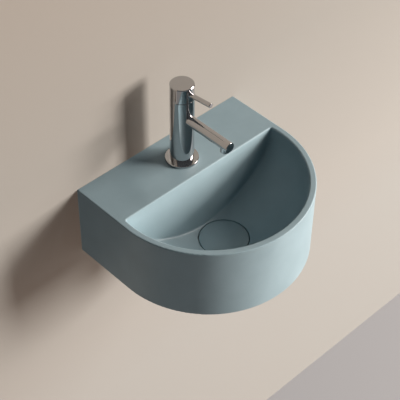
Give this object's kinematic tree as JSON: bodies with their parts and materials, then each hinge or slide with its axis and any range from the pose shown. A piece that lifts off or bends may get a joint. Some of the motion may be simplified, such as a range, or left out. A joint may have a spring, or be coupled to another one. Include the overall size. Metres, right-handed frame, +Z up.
{
  "type": "cloakroom basin",
  "caption": "Wall-hung D-shaped cloakroom basin in matt grey-blue with a tap ledge, a chrome pin-lever mixer and a flush push-open waste cover.",
  "frame": {"origin": "middle of the two wall-fixing holes, on the back face", "axes": "+Z up, +Y into the wall, front faces -Y, +X along the wall to the right"},
  "size_m": [0.36, 0.3025, 0.356],
  "materials": {
    "basin_ceramic": "matt grey-blue glaze",
    "chrome": "polished chrome plate",
    "brass": "turned brass",
    "steel": "stainless steel",
    "rubber": "moulded rubber",
    "plastic": "moulded acetal",
    "disc_ceramic": "lapped alumina"
  },
  "bodies": {
    "basin": {"basin_body": "basin_ceramic", "tap_base_ring": "chrome", "tap_body": "chrome", "spout_tube": "chrome", "spout_plug": "chrome", "aerator_housing": "chrome", "waste_body": "chrome", "cartridge_nut": "brass", "waste_backnut": "brass", "fixing_stud": "steel", "clamp_plate": "steel", "fixing_nut": "steel", "click_spring": "steel", "waste_upper_gasket": "rubber", "waste_lower_gasket": "rubber", "tap_base_seal": "rubber", "clamp_rubber": "rubber", "spout_seal": "rubber", "aerator_washer": "rubber", "port_seals": "rubber", "click_sleeve": "plastic", "waste_slip_washer": "plastic", "aerator_insert": "plastic", "cartridge_base": "plastic", "cartridge_housing": "plastic", "fixed_disc": "disc_ceramic"},
    "plug": {"waste_cover": "basin_ceramic", "cover_seal": "rubber", "click_plunger": "brass"},
    "turret": {"cartridge_turret": "plastic", "pivot_pin": "steel"},
    "disc_slide": {"disc_carrier": "plastic", "moving_disc": "disc_ceramic"},
    "lever": {"lever_stem": "brass", "lever_cap": "chrome", "lever_pin": "chrome", "grub_screw": "steel"}
  },
  "joints": [
    {"name": "lever_swivel", "type": "hinge", "parent": "basin", "child": "turret", "pos_m": [0, -0.0585, 0.201], "axis": [0, 0, 1], "range_deg": [-45, 45]},
    {"name": "lever_lift", "type": "hinge", "parent": "turret", "child": "lever", "pos_m": [0, -0.0585, 0.201], "axis": [-1, 0, 0], "range_deg": [0, 22]},
    {"name": "disc_shift", "type": "slide", "parent": "turret", "child": "disc_slide", "axis": [0, -1, 0], "range_m": [0, 0.0025]},
    {"name": "cover_lift", "type": "slide", "parent": "basin", "child": "plug", "axis": [0, 0, 1], "range_m": [0, 0.008], "deforming": ["click_spring"]}
  ],
  "couplings": [
    {"joint": "disc_shift", "follows": "lever_lift", "m_per_rad": 0.0062}
  ]
}
